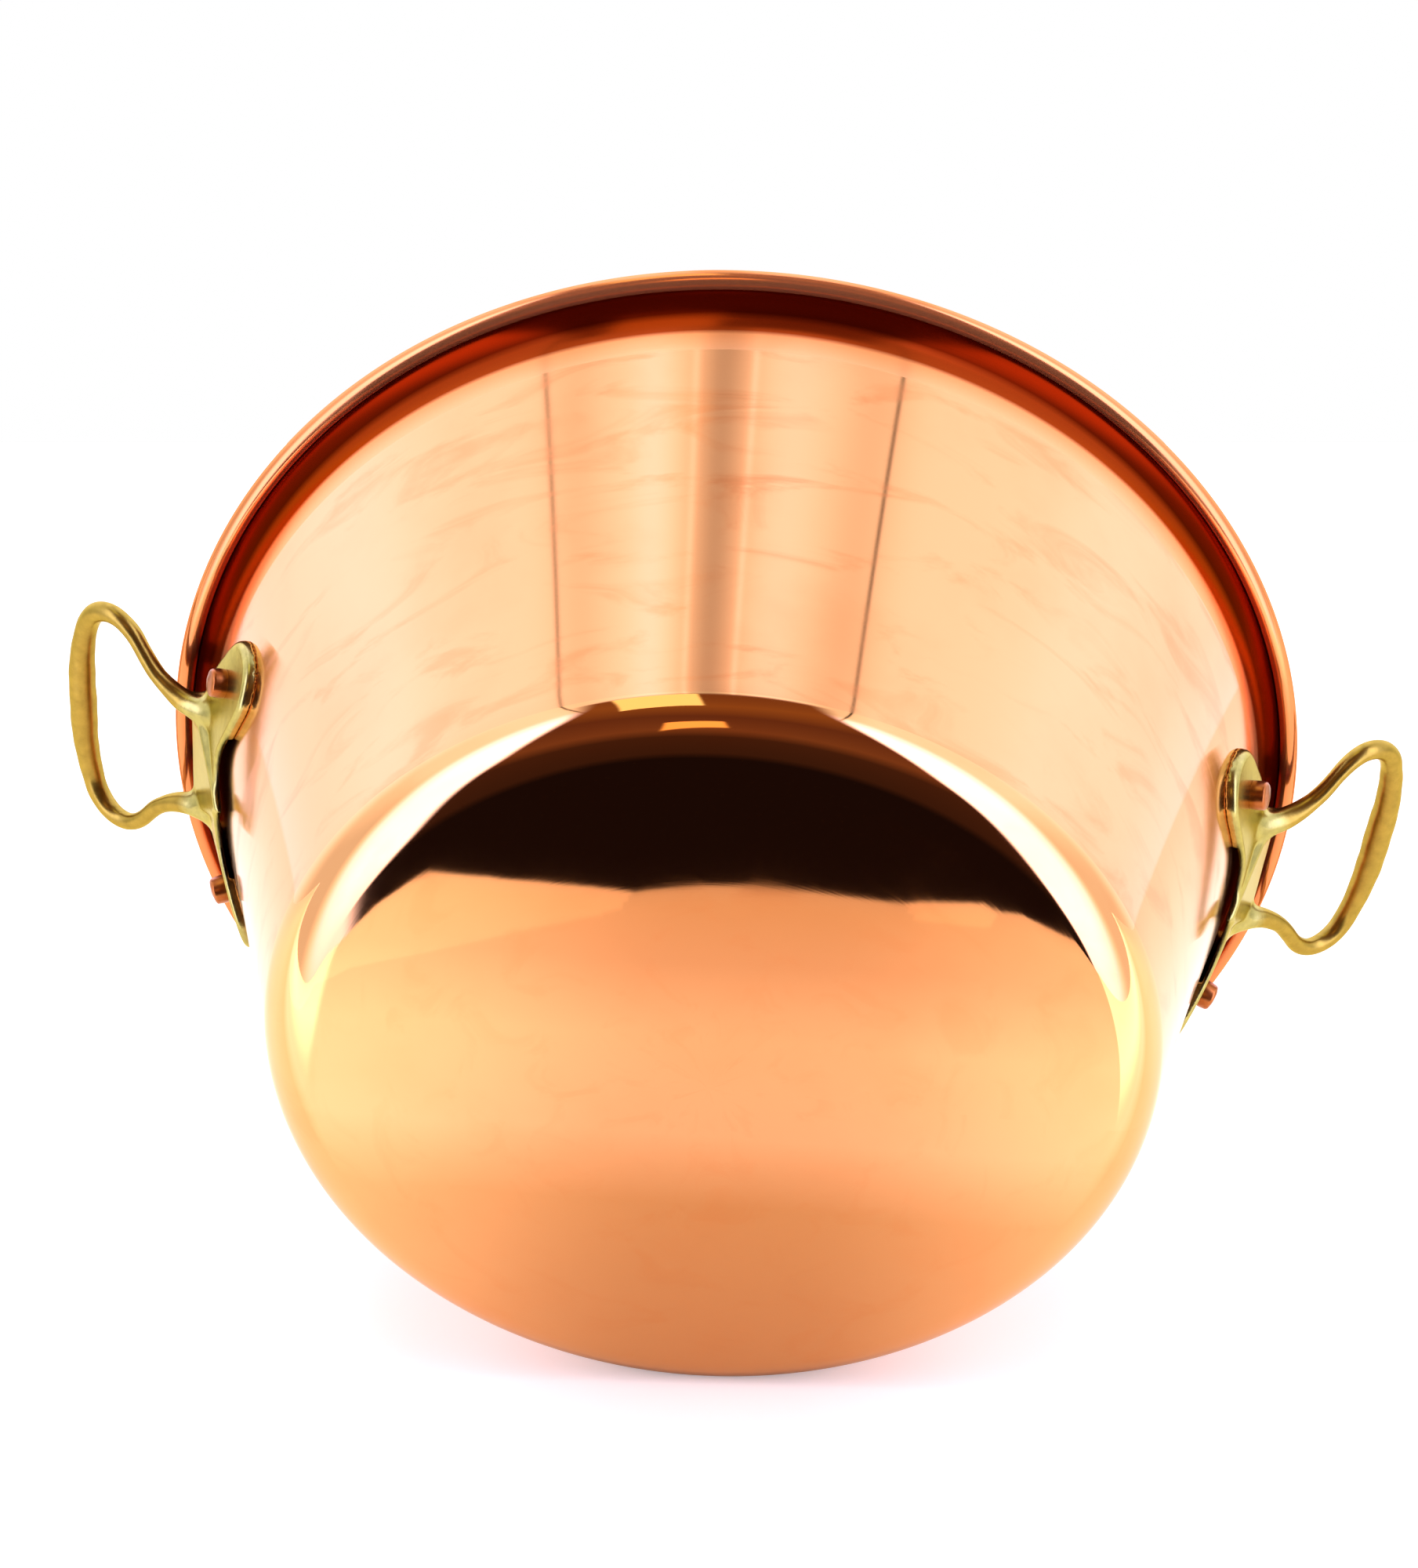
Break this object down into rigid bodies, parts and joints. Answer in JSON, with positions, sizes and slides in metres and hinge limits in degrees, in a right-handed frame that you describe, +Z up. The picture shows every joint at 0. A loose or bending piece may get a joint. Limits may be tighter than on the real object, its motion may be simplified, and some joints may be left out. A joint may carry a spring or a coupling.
{
  "type": "jam pan",
  "caption": "Wide flared copper pan with a flat base, a rolled rim and two riveted brass loop handles, for boiling preserves.",
  "frame": {"origin": "middle of the flat base, on its underside", "axes": "+Z up from the base to the mouth, +X through the middle of one handle, +Y across the pan between the handles"},
  "size_m": [0.4564, 0.38, 0.1658],
  "materials": {
    "copper": "bare copper, wall brushed around the pan, base mirror polished",
    "wire": "drawn iron wire, hidden in the rolled rim",
    "brass": "cast brass, plate polished, loop left with a fine cast skin",
    "rivet_copper": "solid copper, heads upset by hammering"
  },
  "bodies": {
    "root": {"pan_body": "copper", "rim_wire": "wire", "right_handle": "brass", "left_handle": "brass", "right_front_rivet": "rivet_copper", "right_back_rivet": "rivet_copper", "left_front_rivet": "rivet_copper", "left_back_rivet": "rivet_copper"}
  },
  "joints": []
}
